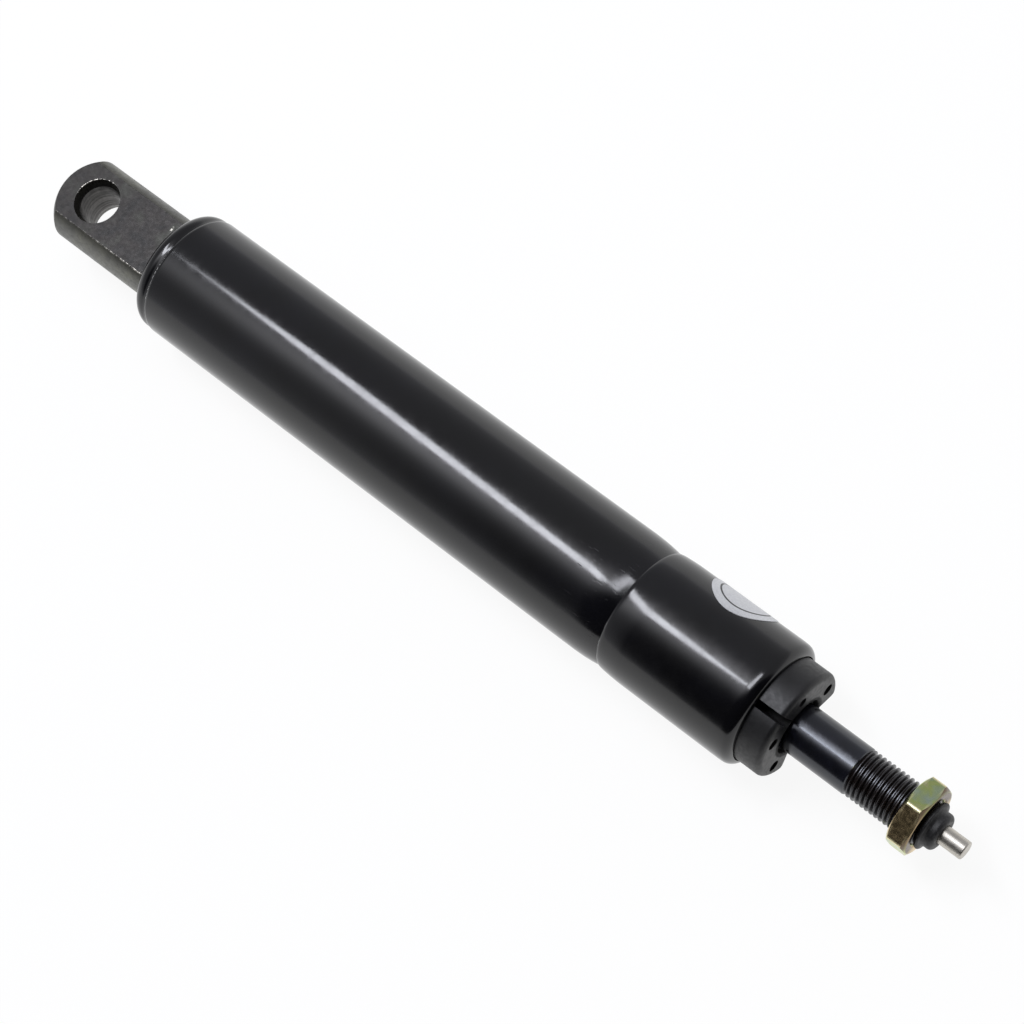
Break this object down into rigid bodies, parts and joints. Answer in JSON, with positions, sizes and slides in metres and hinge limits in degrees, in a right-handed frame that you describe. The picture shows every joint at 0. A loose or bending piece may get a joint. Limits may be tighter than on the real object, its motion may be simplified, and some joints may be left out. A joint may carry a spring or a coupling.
{
  "type": "lockable gas-hydraulic strut",
  "caption": "Single-stage lockable gas-hydraulic strut: black tube with a flat eye, hollow threaded rod, lock nut, dust boot and release pin.",
  "frame": {"origin": "centre of the eye's bore, midway between the eye's two flats", "axes": "+X along the strut from the eye towards the rod's threaded end, +Z along the eye's bore, +Y completes a right-handed frame; the rod is stored fully pushed in"},
  "size_m": [0.2773, 0.0321, 0.032],
  "materials": {
    "tube_paint": "gloss black paint",
    "burnished_steel": "machined steel with a dark olive-grey phosphate coat",
    "rod_nitrided": "satin black nitrided steel",
    "collar_plastic": "matte dark grey moulded plastic",
    "nut_zinc": "yellow-green zinc plating with a faint iridescence",
    "boot_rubber": "matte black rubber",
    "pin_steel": "ground bright steel",
    "seal_rubber": "black seal rubber",
    "inner_aluminium": "turned aluminium",
    "inner_bronze": "sintered bronze",
    "inner_steel": "turned steel",
    "sticker_paper": "silver-white sticker, bare but for one thin ring"
  },
  "bodies": {
    "cylinder": {"outer_tube": "tube_paint", "eye_fitting": "burnished_steel", "base_oring": "seal_rubber", "rod_guide": "inner_aluminium", "guide_oring": "seal_rubber", "guide_bush": "inner_bronze", "rod_seal": "seal_rubber", "backup_washer": "inner_steel", "rod_wiper": "seal_rubber", "bump_stop": "seal_rubber", "end_collar": "collar_plastic", "label": "sticker_paper"},
    "separator": {"separator_piston": "inner_aluminium", "separator_oring": "seal_rubber"},
    "seal_ring": {"piston_ring": "collar_plastic"},
    "rod": {"piston_rod": "rod_nitrided", "piston": "inner_steel", "piston_nut": "nut_zinc", "valve_seat": "inner_bronze", "stem_bush": "inner_bronze", "stem_oring": "seal_rubber", "dust_boot": "boot_rubber"},
    "release": {"release_pin": "pin_steel", "valve_stem": "pin_steel"},
    "nut": {"lock_nut": "nut_zinc"}
  },
  "joints": [
    {"name": "rod_slide", "type": "slide", "parent": "cylinder", "child": "seal_ring", "axis": [1, 0, 0], "range_m": [0, 0.075]},
    {"name": "rod_turn", "type": "hinge", "parent": "seal_ring", "child": "rod", "pos_m": [0.0838, 0, 0], "axis": [1, 0, 0], "continuous": true},
    {"name": "release_press", "type": "slide", "parent": "rod", "child": "release", "axis": [1, 0, 0], "range_m": [-0.003, 0], "stiffness_N_per_m": 5000},
    {"name": "nut_turn", "type": "hinge", "parent": "rod", "child": "nut", "pos_m": [0.2515, 0, 0], "axis": [1, 0, 0], "continuous": true},
    {"name": "separator_slide", "type": "slide", "parent": "cylinder", "child": "separator", "axis": [1, 0, 0], "range_m": [0, 0.0135]}
  ],
  "couplings": [
    {"joint": "separator_slide", "follows": "rod_slide", "ratio": 0.1736}
  ]
}
